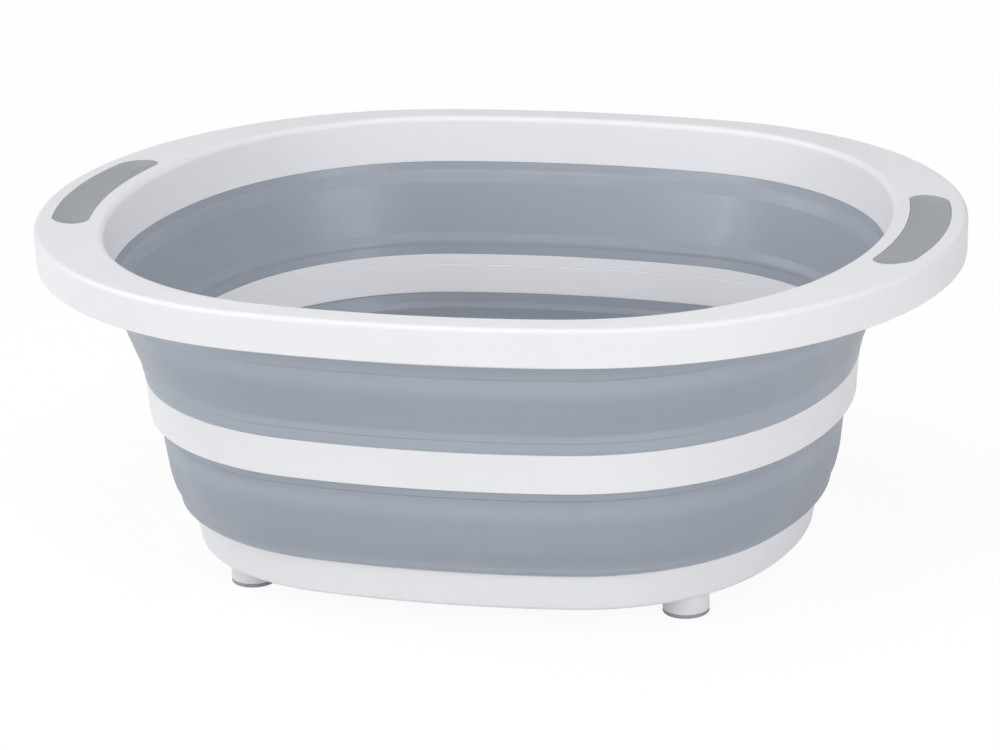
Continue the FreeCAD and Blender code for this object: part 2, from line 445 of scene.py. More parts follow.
def at_height(steps: Steps, height: float) -> float:
    """Reads a value that changes smoothly with height.

    Args:
        steps: Rising heights in millimetres, each with the value there.
        height: The height asked for in millimetres.

    Returns:
        The value.
    """
    height = max(steps[0][0], min(steps[-1][0], height))
    ends = [steps[0], *steps, steps[-1]]
    for before, (low, less), (high, more), after in zip(ends, ends[1:], ends[2:], ends[3:]):
        if height <= high:
            span = high - low
            part = (height - low) / span
            rise = span * (more - before[1]) / (high - before[0])
            fall = span * (after[1] - less) / (after[0] - low)
            bow = (1 - part) * rise - part * fall + (2 * part - 1) * (more - less)
            return less + (more - less) * part + part * (1 - part) * bow
    return steps[-1][1]


def draw_out(piece: Piece, extras: Steps) -> None:
    """Lengthens a piece along X by amounts that change with height."""
    for vertex in piece.data.vertices:
        vertex.co.x *= 1 + at_height(extras, vertex.co.z / MM) / END_REACH


def mirrored(piece: Piece, name: str) -> Piece:
    """A copy at the other end of the bowl, with its own mesh.

    Args:
        piece: The piece at the right end.
        name: Name of the copy.

    Returns:
        The copy.
    """
    copy = piece.copy()
    copy.data = piece.data.copy()
    copy.name = copy.data.name = name
    bpy.context.scene.collection.objects.link(copy)
    copy.data.transform(Matrix.Scale(-1.0, 4, Vector((1.0, 0.0, 0.0))))
    copy.data.flip_normals()
    return copy


class NodeSheet:
    """A node tree under construction."""

    def __init__(self, tree: bpy.types.NodeTree) -> None:
        """Takes over a tree."""
        self.tree = tree

    def add(self, kind: str, **settings: object) -> Node:
        """Adds a node.

        Args:
            kind: Blender's name of the node type, after the ShaderNode that it begins with.
            **settings: The node's properties, or its inputs with _ for a space.

        Returns:
            The node.
        """
        node = self.tree.nodes.new("ShaderNode" + kind)
        for key, value in settings.items():
            if hasattr(node, key):
                setattr(node, key, value)
            else:
                node.inputs[key.replace("_", " ")].default_value = value
        return node

    def mix_colours(self, first: Colour, second: Colour) -> Node:
        """Adds a mix of two colours.

        Args:
            first: The colour at a factor of 0.
            second: The colour at a factor of 1.

        Returns:
            The node.
        """
        mix = self.add("Mix", data_type="RGBA")
        for index, colour in zip(MIX_COLOURS, (first, second)):
            mix.inputs[index].default_value = (*colour, 1.0)
        return mix

    def link(self, *wires: tuple[Node, str | int, Node, str | int]) -> None:
        """Joins outputs to inputs."""
        for source, output, target, entry in wires:
            self.tree.links.new(source.outputs[output], target.inputs[entry])


class SharedEffects:
    """Node groups that more than one finish uses, each built once."""

    @staticmethod
    def _new(name: str, result: str, **inputs: float) -> tuple[NodeSheet, Node, Node, Node]:
        """Starts a group that makes one number out of a place on the object.

        Args:
            name: Name of the group.
            result: Name of the number that it puts out.
            **inputs: Names and default values of the numbers that it takes.

        Returns:
            The sheet, its input node, its output node and the node with the coordinates.
        """
        tree = bpy.data.node_groups.new(name, "ShaderNodeTree")
        number = "NodeSocketFloat"
        for label, value in inputs.items():
            socket = tree.interface.new_socket(name=label, in_out="INPUT", socket_type=number)
            socket.default_value = value
        tree.interface.new_socket(name=result, in_out="OUTPUT", socket_type=number)
        sheet = NodeSheet(tree)
        entry, leave = (tree.nodes.new(kind) for kind in ("NodeGroupInput", "NodeGroupOutput"))
        return sheet, entry, leave, sheet.add("TexCoord")

    @staticmethod
    @cache
    def mould_grain() -> bpy.types.NodeTree:
        """Fine spark-eroded mould texture with a slow unevenness under it.

        Returns:
            A group with inputs Grain, Wave and Mix, and output Height.
        """
        sheet, entry, leave, place = SharedEffects._new(
            "mould_grain", "Height", Grain=2500.0, Wave=45.0, Mix=0.5
        )
        grain = sheet.add("TexNoise", Detail=3.0, Roughness=0.55)
        wave = sheet.add("TexNoise", Detail=1.0, Roughness=0.4)
        mix = sheet.add("Mix", data_type="FLOAT")
        for texture, scale, label in ((grain, "Grain", "A"), (wave, "Wave", "B")):
            sheet.link(
                (place, "Object", texture, "Vector"),
                (entry, scale, texture, "Scale"),
                (texture, "Fac", mix, label),
            )
        sheet.link((entry, "Mix", mix, "Factor"), (mix, "Result", leave, "Height"))
        return sheet.tree

    @staticmethod
    @cache
    def handling_bloom() -> bpy.types.NodeTree:
        """Blotches of shinier and duller surface, drawn out up and down the wall.

        Returns:
            A group with inputs Round, Tall and Contrast, and output Mask.
        """
        sheet, entry, leave, place = SharedEffects._new(
            "handling_bloom", "Mask", Round=26.0, Tall=9.0, Contrast=0.25
        )
        scale = sheet.add("CombineXYZ")
        stretch = sheet.add("VectorMath", operation="MULTIPLY")
        blotch = sheet.add("TexNoise", Scale=1.0, Detail=4.0, Roughness=0.6, Distortion=0.35)
        ramp = sheet.add("MapRange", interpolation_type="SMOOTHSTEP")
        for operation, limit in (("SUBTRACT", "From Min"), ("ADD", "From Max")):
            edge = sheet.add("Math", operation=operation)
            edge.inputs[0].default_value = 0.5
            sheet.link((entry, "Contrast", edge, 1), (edge, "Value", ramp, limit))
        sheet.link(
            (entry, "Round", scale, "X"),
            (entry, "Round", scale, "Y"),
            (entry, "Tall", scale, "Z"),
            (place, "Object", stretch, 0),
            (scale, "Vector", stretch, 1),
            (stretch, "Vector", blotch, "Vector"),
            (blotch, "Fac", ramp, "Value"),
            (ramp, "Result", leave, "Mask"),
        )
        return sheet.tree


@dataclass(frozen=True)
class MouldedFinish:
    """A moulded plastic or rubber surface."""

    name: str
    colour: Colour  # Its main colour
    drift: Colour  # The colour that it drifts to in patches
    shine: float  # Roughness where it is shiniest
    dull: float  # Roughness where it is dullest
    grain: float = 2500.0  # Grains of the mould texture per metre
    depth: float = 0.00002  # Depth of the mould texture in metres
    wave: float = 0.5  # How far the slow unevenness shows in the grain, from 0 to 1
    # Blotches per metre round the bowl, per metre up it, and half their contrast's width
    bloom: tuple[float, float, float] = (26.0, 9.0, 0.25)
    # The same for the fine streaks over the blotches
    streaks: tuple[float, float, float] = (420.0, 26.0, 0.3)
    streak_share: float = 0.0  # How far the streaks show, from 0 to 1
    index: float = 1.49  # Refractive index
    sheen: float = 0.5  # Strength of the reflections, where 0.5 is plain for the index
    pale: float = 1.0  # How many times as bright the painted highlight bands make it at a mark of 1; marks below 0 paint shade

    def make(self) -> bpy.types.Material:
        """Builds the material once.

        Returns:
            The material.
        """
        found = bpy.data.materials.get(self.name)
        if found:
            return found
        material = bpy.data.materials.new(self.name)
        material.use_nodes = True
        sheet = NodeSheet(material.node_tree)
        shader = material.node_tree.nodes["Principled BSDF"]
        shader.inputs["IOR"].default_value = self.index
        shader.inputs["Specular IOR Level"].default_value = self.sheen
        wear = sheet.add("Mix", data_type="FLOAT", Factor=self.streak_share)
        for values, label in ((self.bloom, "A"), (self.streaks, "B")):
            numbers = dict(zip(BLOOM_INPUTS, values))
            bloom = sheet.add("Group", node_tree=SharedEffects.handling_bloom(), **numbers)
            sheet.link((bloom, "Mask", wear, label))
        tint = sheet.mix_colours(self.colour, self.drift)
        # Painted light and shade: the band marks scale the wall's colour up on shoulders, beads and
        # lip and down on the lower panel
        stretch = sheet.add("Attribute", attribute_name=PAINTED_BAND_MARK)
        band_gain = sheet.add("MapRange", To_Min=1.0, To_Max=self.pale, clamp=False)
        band_lit = sheet.add("VectorMath", operation="SCALE")
        gloss = sheet.add("MapRange", To_Min=self.dull, To_Max=self.shine)
        grain = sheet.add(
            "Group", node_tree=SharedEffects.mould_grain(), Grain=self.grain, Mix=self.wave
        )
        bump = sheet.add("Bump", Strength=1.0, Distance=self.depth)
        sheet.link(
            (wear, "Result", tint, 0),
            (stretch, "Fac", band_gain, "Value"),
            (tint, MIX_RESULT, band_lit, 0),
            (band_gain, "Result", band_lit, "Scale"),
            (band_lit, "Vector", shader, "Base Color"),
            (wear, "Result", gloss, "Value"),
            (gloss, "Result", shader, "Roughness"),
            (grain, "Height", bump, "Height"),
            (bump, "Normal", shader, "Normal"),
        )
        return material


WHITE_PLASTIC = MouldedFinish(
    "satin_white_plastic", (0.80, 0.80, 0.822), (0.788, 0.788, 0.812), 0.4, 0.48,
    grain=3000.0, depth=0.000006, sheen=0.25,
)
# The wall's pale factor sets the strength of its painted highlight bands
SOFT_WALL = MouldedFinish(
    "blue_grey_soft_wall", (0.296, 0.329, 0.38), (0.313, 0.343, 0.39), 0.3, 0.52,
    depth=0.000014, streak_share=0.35, pale=1.18,
)
SOFT_GRIP = MouldedFinish(
    "matte_grey_soft_grip", (0.34, 0.354, 0.384), (0.355, 0.369, 0.396), 0.45, 0.58,
    grain=1800.0, depth=0.00003,
)
SOFT_FOOT = MouldedFinish(
    "grey_soft_foot", (0.29, 0.31, 0.36), (0.31, 0.33, 0.37), 0.5, 0.65,
    grain=1800.0, depth=0.00003,
)


def settle(piece: Piece, finish: MouldedFinish, node: str) -> None:
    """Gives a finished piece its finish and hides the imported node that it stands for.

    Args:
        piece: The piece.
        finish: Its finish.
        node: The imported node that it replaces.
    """
    piece.data.materials.clear()
    piece.data.materials.append(finish.make())
    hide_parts(node)
    LOG.info("%s: %d faces", piece.name, len(piece.data.polygons))


@dataclass
class MiddleRing:
    """Rigid band between the soft walls, with a fine line inside and outside."""

    thickness: float = 2.7
    draft: float = 1.5  # How far its lower edge lies inside its upper edge
    edge_radius: float = 0.35  # Rounding of its outer edges
    inner_radius: float = 0.3  # Rounding of its inner edges
    outer_line: float = 4.9  # Height of the fine line outside above the lower edge
    inner_line: float = 5.2  # Depth of the fine line inside below the upper edge
    line_depth: float = 0.14
    line_reach: float = 0.25  # Half width of the fine lines
    line_radii: tuple[float, float] = (0.1, 0.08)  # Rounding of the lines' edges and bottoms
    outer_ledge: float = 0.04  # How far the face above the line outside stands back
    inner_ledge: float = 0.05  # How far the face below the line inside stands out

    def _face(self, height: float) -> float:
        """The outer face's distance out at a height."""
        return -self.draft * (RING_TOP - height) / (RING_TOP - RING_BOTTOM)

    def section(self) -> Section:
        """Its cross-section, from the lower outer edge round.

        Returns:
            The section.
        """
        low, top, step, wall = RING_BOTTOM, RING_TOP + UPPER_LAP, self.line_reach, self.thickness
        line, inner = low + self.outer_line, top - self.inner_line
        edge, root = self.line_radii
        return Section([
            Bend(-self.draft, low, self.edge_radius),
            Bend(self._face(line - step), line - step, edge),
            Bend(self._face(line) - self.line_depth, line, root),
            Bend(self._face(line + step) - self.outer_ledge, line + step, edge),
            Bend(0.0, RING_TOP, self.edge_radius),
            Bend(-LAP, RING_TOP),
            Bend(-LAP, top),
            Bend(self._face(top) - wall, top, self.inner_radius),
            Bend(self._face(inner + step) - wall, inner + step, edge),
            Bend(self._face(inner) - wall + self.line_depth, inner, root),
            Bend(self._face(inner - step) - wall - self.inner_ledge, inner - step, edge),
            Bend(-self.draft - wall, low + LOWER_LAP, self.inner_radius),
            Bend(-self.draft - LAP, low + LOWER_LAP),
            Bend(-self.draft - LAP, low),
        ])

    def build(self) -> Piece:
        """Makes and dresses the ring.

        Returns:
            The ring.
        """
        piece = sweep("middle_ring_band", self.section(), RING_OVAL)
        smooth(piece)
        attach(piece, Body.RING.value)
        settle(piece, WHITE_PLASTIC, "middle_ring")
        return piece


@dataclass(frozen=True)
class SoftWall:
    """A soft wall that folds between two rigid pieces, with a thin hinge band at each end."""

    name: str
    node: str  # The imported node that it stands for
    lower: Body  # The body at its lower end
    upper: Body  # The body at its upper end
    span: tuple[float, float]  # Heights of its ends
    hinges: tuple[float, float]  # Heights between which it bends when the bowl is folded
    outside: tuple[Bend, ...]  # Its outer corners from the lower end up
    inside: tuple[Bend, ...]  # Its inner corners from the upper end down
    stretch: Steps  # Rising heights, each with the share of painted highlight on the outer face there; below 0 it is painted shade
    extras: Steps = ()  # Rising heights, each with the extra length at each end of the bowl there
    uneven_depth: float = 0.35  # Depth of the slight unevenness that folding has left
    uneven_width: float = 38.0  # Width of that unevenness
    uneven_fade: float = 6.0  # How fast it fades in from the wall's ends

    def _unsettle(self, piece: Piece) -> None:
        """Gives the wall its slight unevenness.

        Args:
            piece: The wall.
        """
        low, high = self.span
        group = piece.vertex_groups.new(name="loose")
        for vertex in piece.data.vertices:
            share = (vertex.co.z / MM - low) / (high - low)
            weight = max(0.0, min(1.0, self.uneven_fade * share * (1 - share)))
            group.add([vertex.index], weight, "REPLACE")
        clouds = bpy.data.textures.new(self.name + "_unevenness", "CLOUDS")
        clouds.noise_scale = self.uneven_width * MM
        clouds.noise_depth = 1
        modify(
            piece, "DISPLACE", texture=clouds, texture_coords="LOCAL",
            strength=self.uneven_depth * MM, vertex_group=group.name,
        )
        piece.vertex_groups.clear()

    def _paint_light_bands(self, piece: Piece) -> None:
        """Notes the bands of painted light and shade on the outer face, for the finish to read.

        Args:
            piece: The wall.
        """
        mark = piece.data.attributes.new(PAINTED_BAND_MARK, "FLOAT", "POINT")
        for vertex, share in zip(piece.data.vertices, mark.data):
            outward = vertex.normal.x * vertex.co.x + vertex.normal.y * vertex.co.y > 0
            share.value = at_height(self.stretch, vertex.co.z / MM) if outward else 0.0

    def build(self) -> Piece:
        """Makes and dresses the wall.

        Returns:
            The wall.
        """
        section = Section(self.outside + self.inside, run=SOFT_RUN)
        piece = sweep(self.name, section, RING_OVAL)
        self._unsettle(piece)
        if self.extras:
            draw_out(piece, self.extras)
        smooth(piece)
        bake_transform(piece)
        self._paint_light_bands(piece)
        settle(piece, SOFT_WALL, self.node)
        return piece


UPPER_WALL = SoftWall(
    name="upper_soft_wall",
    node="upper_wall",
    lower=Body.RING,
    upper=Body.RIM,
    span=(RING_TOP, COLLAR_BOTTOM),
    hinges=(101.5, 128.0),
    outside=(
        Bend(-0.3, RING_TOP + SEAM), Bend(0.35, 93.3, 1.0), Bend(0.5, 96.9, 0.6),
        Bend(0.55, 97.4, 0.4), Bend(1.45, 98.05, 0.6), Bend(1.4, 100.9, 1.4),
        Bend(2.7, 103.2, 1.0), Bend(8.3, 118.4, 6.0), Bend(9.35, 121.6, 4.0),
        Bend(9.8, 124.6, 3.0), Bend(9.75, 127.9, 0.6), Bend(9.9, 128.5, 0.4),
        Bend(11.6, 129.5, 0.8), Bend(14.6, COLLAR_BOTTOM - SEAM),
    ),
    inside=(
        Bend(13.25, COLLAR_BOTTOM - SEAM), Bend(12.1, 132.4, 0.5), Bend(10.6, 131.2, 0.4),
        Bend(10.35, 130.8, 0.3), Bend(8.2, 126.9, 0.8), Bend(7.9, 125.9, 1.0),
        Bend(1.2, 104.6, 0.9), Bend(0.95, 103.8, 0.5), Bend(-1.0, 100.4, 0.8),
        Bend(-1.3, 99.4, 0.5), Bend(-1.45, 97.9, 0.5), Bend(-2.5, RING_TOP + UPPER_LAP + SEAM),
        Bend(-LAP, RING_TOP + UPPER_LAP + SEAM), Bend(-LAP, RING_TOP + SEAM),
    ),
    # Painted highlights on the foot, the bead and the shoulder, none on the panel between
    stretch=(
        (92.0, 0.7), (100.9, 0.6), (102.6, 0.0), (117.5, 0.0), (121.5, 0.5), (125.0, 1.0),
        (128.3, 1.0), (129.3, 0.7),
    ),
)

LOWER_WALL = SoftWall(
    name="lower_soft_wall",
    node="lower_wall",
    lower=Body.BASE,
    upper=Body.RING,
    span=(BASE_TOP, RING_BOTTOM),
    hinges=(36.0, 70.3),
    outside=(
        Bend(-19.3, BASE_TOP + SEAM), Bend(-16.9, 31.1, 0.7), Bend(-15.0, 32.5, 0.8),
        Bend(-14.0, 33.6, 0.7), Bend(-13.75, 35.6, 1.5), Bend(-12.6, 38.4, 3.5),
        Bend(-10.3, 42.4, 10.0), Bend(-8.2, 48.4, 22.0), Bend(-6.2, 56.0, 30.0),
        Bend(-4.65, 62.8, 9.0), Bend(-4.5, 66.4, 5.0), Bend(-4.75, 68.9, 0.9),
        Bend(-4.85, 69.5, 0.35), Bend(-3.95, 70.25, 0.5), Bend(-3.3, RING_BOTTOM - SEAM),
        Bend(-2.9, RING_BOTTOM - SEAM), Bend(-2.9, RING_BOTTOM + LOWER_LAP - 2 * SEAM),
    ),
    inside=(
        Bend(-5.0, RING_BOTTOM + LOWER_LAP - 2 * SEAM), Bend(-5.6, 70.6, 0.8),
        Bend(-6.3, 69.0, 0.5), Bend(-6.75, 68.0, 0.6), Bend(-6.8, 64.0, 6.0),
        Bend(-8.4, 56.0, 30.0), Bend(-10.2, 48.0, 26.0), Bend(-12.5, 40.9, 12.0),
        Bend(-15.2, 36.4, 1.0), Bend(-17.4, 33.4, 1.5), Bend(-21.2, BASE_TOP + SEAM),
    ),
    # Painted highlights on the lip and the shoulder, painted shade on the panel between
    stretch=(
        (31.0, 0.2), (33.5, 0.2), (36.0, -0.1), (44.0, -0.2), (50.0, -0.1), (57.5, -0.05),
        (62.0, 0.4), (65.5, 0.4), (68.5, 0.0),
    ),
    extras=END_EXTRAS,
)


@dataclass
class BaseTray:
    """Rigid tray with four legs and a soft pad under each."""

    inset: float = 19.4  # How far its upper edge lies inside the ring's oval
    draft: float = 3.5  # How far its lower edge lies inside its upper edge
    wall: float = 2.6  # Thickness of its side
    lip_radii: tuple[float, float] = (0.3, 0.45)  # Rounding of its upper edge inside and outside
    edge_radius: float = 2.5  # Rounding under its side
    under_land: float = 2.2  # Underside drawn with the side, in edge radii
    cove_radius: float = 6.0  # Rounding between the floor and the side
    floor_land: float = 1.6  # Floor drawn with the side, in cove radii
    leg_radius: float = 10.3
    leg_inset: float = 16.2  # Distance of a leg's middle from the tray's lower edge
    leg_direction: float = 41.0  # Direction of a leg from the corner arc's centre, in degrees
    leg_overlap: float = 1.0  # How far a leg reaches into the tray
    leg_edge: float = 0.3  # Rounding of a leg's lower edge
    stem_radius: float = 4.0
    stem_length: float = 5.0
    stem_gap: float = 0.1  # Gap between the stem and its socket
    pad_radii: tuple[float, float] = (0.8, 0.2)  # Rounding of the pad's lower and upper edge
    sides: int = 72  # Faces round a leg or pad

    def section(self) -> Section:
        """Its side from the floor's edge over the top to the underside.

        Returns:
            The section, open at both ends.
        """
        low, high = -self.inset - self.draft, -self.inset
        rise = (FLOOR_TOP - BASE_BOTTOM) / (BASE_TOP - BASE_BOTTOM)
        inside = low + self.draft * rise - self.wall
        bends = [
            Bend(inside - self.floor_land * self.cove_radius, FLOOR_TOP),
            Bend(inside, FLOOR_TOP, self.cove_radius),
            Bend(high - self.wall, BASE_TOP, self.lip_radii[0]),
            Bend(high, BASE_TOP, self.lip_radii[1]),
            Bend(low, BASE_BOTTOM, self.edge_radius),
            Bend(low - self.under_land * self.edge_radius, BASE_BOTTOM),
        ]
        return Section(bends, closed=False, run=RIGID_RUN)

    def leg_centre(self, corner: Corner) -> Vector:
        """The middle of a leg on the table.

        Args:
            corner: Which leg.

        Returns:
            The point in metres.
        """
        arc = RING_OVAL.arcs()[1]
        reach = arc.radius - self.inset - self.draft - self.leg_inset
        turn = math.radians(self.leg_direction)
        side_x, side_y = corner.value
        x = side_x * (arc.x + reach * math.cos(turn))
        y = side_y * (arc.y + reach * math.sin(turn))
        return Vector((x, y, 0.0)) * MM

    def _post(self, name: str, centre: Vector, low: float, high: float) -> Piece:
        """An upright round post as wide as a leg.

        Args:
            name: Name of the object.
            centre: Its middle on the table.
            low: Height of its lower end in millimetres.
            high: Height of its upper end in millimetres.

        Returns:
            The post, with its place in its mesh.
        """
        clear()
        bpy.ops.mesh.primitive_cylinder_add(
            vertices=self.sides,
            radius=self.leg_radius * MM,
            depth=(high - low) * MM,
            location=centre + UP * (low + high) / 2 * MM,
        )
        post = fresh(name)
        bpy.ops.object.transform_apply(location=True, rotation=True, scale=True)
        return post

    def _push_up(self, post: Piece, radius: float, length: float) -> None:
        """Insets a post's face at the leg's lower end to a circle and pushes it up.

        Args:
            post: The post.
            radius: Radius of the circle in millimetres.
            length: How far up it goes in millimetres.
        """
        with editing(post):
            bpy.ops.mesh.select_mode(type="FACE")
            bpy.ops.mesh.select_all(action="DESELECT")
            mesh = bmesh.from_edit_mesh(post.data)
            for face in mesh.faces:
                face.select_set(level(face, LEG_BOTTOM))
            bmesh.update_edit_mesh(post.data)
            bpy.ops.mesh.inset(thickness=(self.leg_radius - radius) * MM)
            bpy.ops.mesh.extrude_region_move(TRANSFORM_OT_translate={"value": UP * length * MM})

    def _round_end(self, post: Piece, height: float, radius: float, segments: int) -> None:
        """Rounds the outer edge of a post at a height.

        Args:
            post: The post.
            height: Height of the edge in millimetres.
            radius: Rounding in millimetres.
            segments: Faces across the rounding.
        """
        with editing(post):
            pick_edges(post, lambda edge: level(edge, height))
            bpy.ops.mesh.bevel(offset=radius * MM, segments=segments, affect="EDGES")

    def _pad(self, corner: Corner, centre: Vector) -> Piece:
        """Makes and dresses the soft pad under one leg.

        Args:
            corner: Which leg.
            centre: The leg's middle on the table.

        Returns:
            The pad.
        """
        place = corner.name.lower()
        pad = self._post(place + "_soft_foot", centre, 0.0, LEG_BOTTOM)
        self._round_end(pad, 0.0, self.pad_radii[0], 5)
        self._round_end(pad, LEG_BOTTOM, self.pad_radii[1], 2)
        self._push_up(pad, self.stem_radius, self.stem_length)
        smooth(pad)
        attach(pad, Body.BASE.value)
        settle(pad, SOFT_FOOT, place + "_foot_pad")
        return pad

    def build(self) -> list[Piece]:
        """Makes and dresses the tray and its pads.

        Returns:
            The tray and the four pads.
        """
        tray = sweep("base_tray_moulding", self.section(), RING_OVAL)
        draw_out(tray, END_EXTRAS)
        close_at(tray, (FLOOR_TOP, BASE_BOTTOM), bpy.ops.mesh.edge_face_add)
        pads = []
        for corner in Corner:
            centre = self.leg_centre(corner)
            leg = self._post("leg", centre, LEG_BOTTOM, BASE_BOTTOM + self.leg_overlap)
            self._round_end(leg, LEG_BOTTOM, self.leg_edge, 2)
            self._push_up(leg, self.stem_radius + self.stem_gap, self.stem_length + self.stem_gap)
            combine(tray, leg, "UNION")
            pads.append(self._pad(corner, centre))
        smooth(tray)
        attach(tray, Body.BASE.value)
        settle(tray, WHITE_PLASTIC, "base_tray")
        return [tray, *pads]


@dataclass
class Grip:
    """Soft dished pad let into the rim's end."""

    margin: float = 7.5  # Distance of its long edges from the rim's edges
    length: float = 106.0  # Overall length across the bowl
    half_width: float = 9.5
    end_bow: float = 5.7  # How far its ends bow out
    corner_radius: float = 2.5
    depth: float = 2.1  # Depth of the recess
    drop: float = 0.08  # How far its border lies below the rim's top
    dish: float = 1.55  # Depth of its hollow
    dish_reach: float = 50.0  # Half the length that the hollow is counted on
    dish_rise: float = 9.0  # Length over which the hollow rises at each end
    land: float = 0.9  # Width of the flat border
    gap: float = 0.12  # Gap to the recess all round
    edge: float = 0.35  # Rounding of its upper edge
    edge_band: float = 0.3  # Depth below the rim's top in which that edge lies
    edge_slope: float = 0.3  # Upward part of a normal, between those of its side and its border
    sharp_angle: float = 50.0  # Angle from which an edge is sharp, in degrees
    grid: tuple[int, int] = (28, 96)  # Squares across and along

    def _side(self) -> float:
        """Half the length of its long edges in millimetres."""
        return self.length / 2 - self.end_bow

    def _place(self, across: float, along: float, shrink: float) -> Vector:
        """Maps a square to the grip's outline.

        Args:
            across: From -1 at the inner edge to 1 at the outer edge.
            along: From -1 at the front end to 1 at the far end.
            shrink: How far the outline is drawn in, in millimetres.

        Returns:
            The flat point in millimetres.
        """
        inner, outer = RING_OVAL.arcs()[0], RIM_OVAL.arcs()[0]
        y = along * (self._side() - shrink + self.end_bow * (1 - across * across))
        inner_radius = inner.radius + COLLAR_REACH + self.margin + shrink
        outer_radius = outer.radius - self.margin - shrink
        inner_x = inner.x + math.sqrt(inner_radius ** 2 - y * y)
        outer_x = outer.x + math.sqrt(outer_radius ** 2 - y * y)
        return Vector(((inner_x + outer_x) / 2 + across * (outer_x - inner_x) / 2, y))

    def _soften(self, across: float, along: float) -> tuple[float, float]:
        """Rounds the corners of the square before it is mapped.

        Args:
            across: Place across, from -1 to 1.
            along: Place along, from -1 to 1.

        Returns:
            The rounded place.
        """
        reach = (self.corner_radius / self.half_width, self.corner_radius / self._side())
        over = [(abs(v) - 1 + r) / r for v, r in zip((across, along), reach)]
        if min(over) <= 0:
            return across, along
        pull = max(over) / math.hypot(*over)
        moved = [1 - r + r * o * pull for r, o in zip(reach, over)]
        return math.copysign(moved[0], across), math.copysign(moved[1], along)

    def _sink(self, across: float, along: float) -> float:
        """Depth of the hollow.

        Args:
            across: Place across, from -1 to 1.
            along: Place along, from -1 to 1.

        Returns:
            Millimetres below the pad's border.
        """
        open_width = 1 - self.land / self.half_width
        open_length = 1 - self.land / self.dish_reach
        side = max(0.0, open_width - abs(across)) / open_width
        end = max(0.0, open_length - abs(along)) * self.dish_reach / self.dish_rise
        return self.dish * (1 - (1 - side) ** 2) * (1 - (1 - min(1.0, end)) ** 2)

    def slab(self, name: str, shrink: float, low: float, high: float, dished: bool) -> Piece:
        """A grid shaped to the outline and pulled down into a slab.

        Args:
            name: Name of the object.
            shrink: How far its outline is drawn in, in millimetres.
            low: Height of its underside in millimetres.
            high: Height of its upper face in millimetres.
            dished: Whether its upper face is hollowed.

        Returns:
            The slab.
        """
        clear()
        columns, rows = self.grid
        bpy.ops.mesh.primitive_grid_add(x_subdivisions=columns, y_subdivisions=rows, size=2.0)
        slab = fresh(name)
        for vertex in slab.data.vertices:
            across, along = self._soften(vertex.co.x, vertex.co.y)
            flat = self._place(across, along, shrink)
            sunk = self._sink(across, along) if dished else 0.0
            vertex.co = Vector((flat.x, flat.y, high - sunk)) * MM
        with editing(slab):
            pick_edges(slab, lambda edge: edge.is_boundary)
            down = UP * (low - high) * MM
            bpy.ops.mesh.extrude_region_move(TRANSFORM_OT_translate={"value": down})
            bpy.ops.mesh.edge_face_add()
            face_out()
        return slab

    def _on_edge(self, edge: Edge) -> bool:
        """Whether an edge of the pad divides its border from its side."""
        slopes = [face.normal.z for face in edge.link_faces]
        return (
            all(v.co.z > (RIM_TOP - self.edge_band) * MM for v in edge.verts)
            and len(slopes) == 2
            and min(slopes) < self.edge_slope < max(slopes)
        )

    def build(self) -> list[Piece]:
        """Makes and dresses both grips.

        Returns:
            The right and the left grip.
        """
        low, high = RIM_TOP - self.depth, RIM_TOP - self.drop
        right = self.slab("right_grip_inlay", self.gap, low, high, True)
        with editing(right):
            pick_edges(right, self._on_edge)
            bpy.ops.mesh.bevel(offset=self.edge * MM, segments=3, affect="EDGES")
        smooth(right, self.sharp_angle)
        left = mirrored(right, "left_grip_inlay")
        for piece, node in ((right, "right_grip"), (left, "left_grip")):
            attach(piece, Body.RIM.value)
            settle(piece, SOFT_GRIP, node)
        return [right, left]


